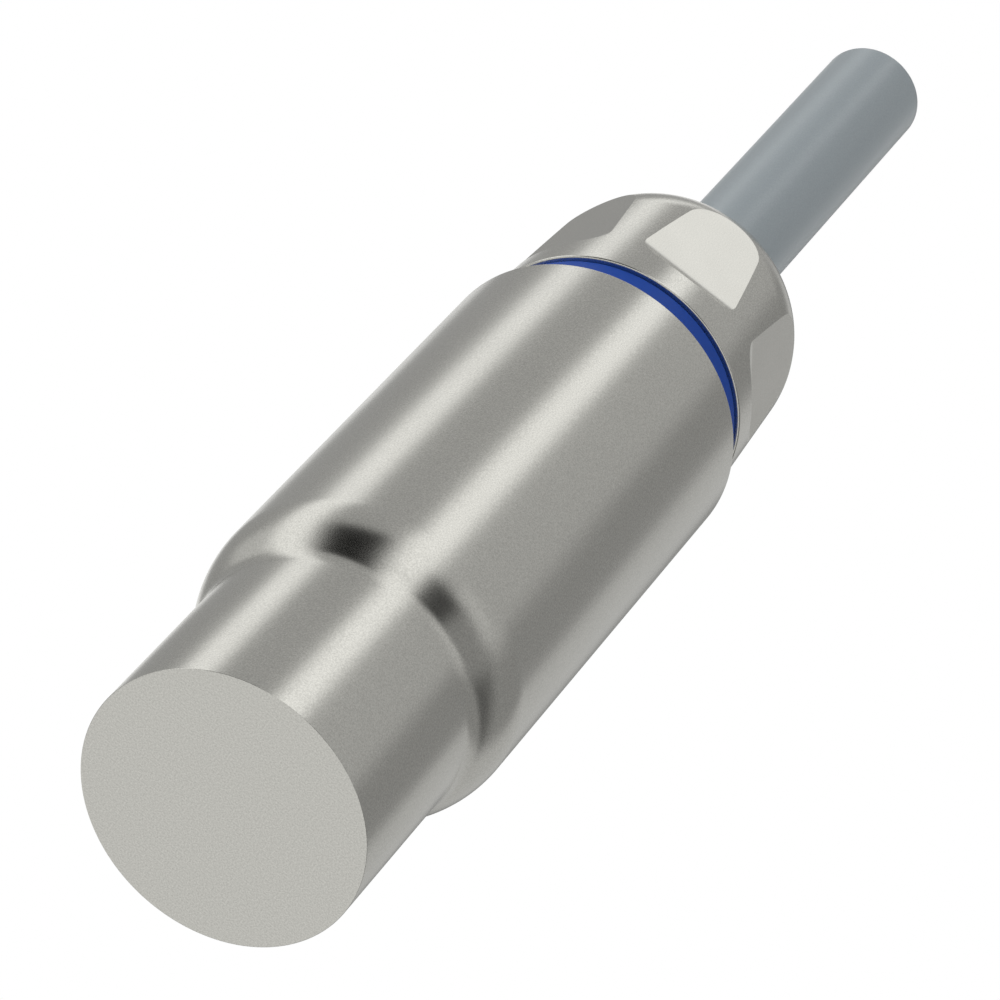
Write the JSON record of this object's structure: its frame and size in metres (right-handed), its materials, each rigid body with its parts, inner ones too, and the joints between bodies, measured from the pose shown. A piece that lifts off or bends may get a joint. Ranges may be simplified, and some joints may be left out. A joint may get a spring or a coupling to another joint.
{
  "type": "ultrasonic sensor",
  "caption": "Ultrasonic sensor: stainless barrel with a closed flat sensing face, slim front sleeve, blue seal ring, domed screw cap with spanner flats and a short cable.",
  "frame": {"origin": "centre of the flat sensing face, which the sensor stands on", "axes": "+Z along the sensor's axis, from the sensing face to the cable; -Y faces one spanner flat"},
  "size_m": [0.018, 0.018, 0.089],
  "materials": {
    "steel": "satin, fine blasted",
    "blue_rubber": "smooth matt",
    "black_rubber": "smooth matt",
    "black_plastic": "moulded",
    "white_plastic": "turned",
    "grey_jacket": "extruded, matt",
    "white_filler": "extruded",
    "brown_core": "extruded",
    "white_core": "extruded",
    "blue_core": "extruded",
    "black_core": "extruded",
    "grey_core": "extruded",
    "copper": "drawn wire",
    "epoxy": "cast",
    "piezo": "sintered, silvered",
    "holder_plastic": "moulded",
    "damping_foam": "cast, matt",
    "lead_red": "extruded",
    "board_green": "lacquered",
    "chip_black": "moulded",
    "can_metal": "bright",
    "ferrite": "sintered",
    "capacitor_tan": "sintered",
    "tantalum_yellow": "moulded",
    "potting_grey": "cast"
  },
  "bodies": {
    "sensor": {"housing": "steel", "gland_body": "steel", "housing_o_ring": "black_rubber", "cable_grommet": "black_rubber", "clamping_collet": "black_plastic", "thrust_washer": "white_plastic", "cable_jacket": "grey_jacket", "cable_filler": "white_filler", "core_brown": "brown_core", "core_white": "white_core", "core_blue": "blue_core", "core_black": "black_core", "core_grey": "grey_core", "core_coppers": "copper", "bonding_layer": "epoxy", "piezo_disc": "piezo", "transducer_holder": "holder_plastic", "damping_block": "damping_foam", "transducer_leads": "lead_red", "board_carrier": "holder_plastic", "main_board": "board_green", "potting": "potting_grey", "transformer_core": "ferrite", "transformer_winding": "copper", "drive_amplifier": "chip_black", "microcontroller": "chip_black", "crystal": "can_metal", "temperature_sensor": "chip_black", "storage_capacitor": "tantalum_yellow", "chip_capacitors": "capacitor_tan", "chip_resistors": "chip_black"},
    "ring": {"seal_ring": "blue_rubber"},
    "cap": {"gland_cap": "steel"}
  },
  "joints": [
    {"name": "cap_travel", "type": "slide", "parent": "sensor", "child": "ring", "axis": [0, 0, 1], "range_m": [0, 0.006]},
    {"name": "cap_turn", "type": "hinge", "parent": "ring", "child": "cap", "pos_m": [0, 0, 0.05], "axis": [0, 0, 1], "range_deg": [0, 2160]}
  ],
  "couplings": [
    {"joint": "cap_travel", "follows": "cap_turn", "m_per_rad": 0.00015915}
  ]
}
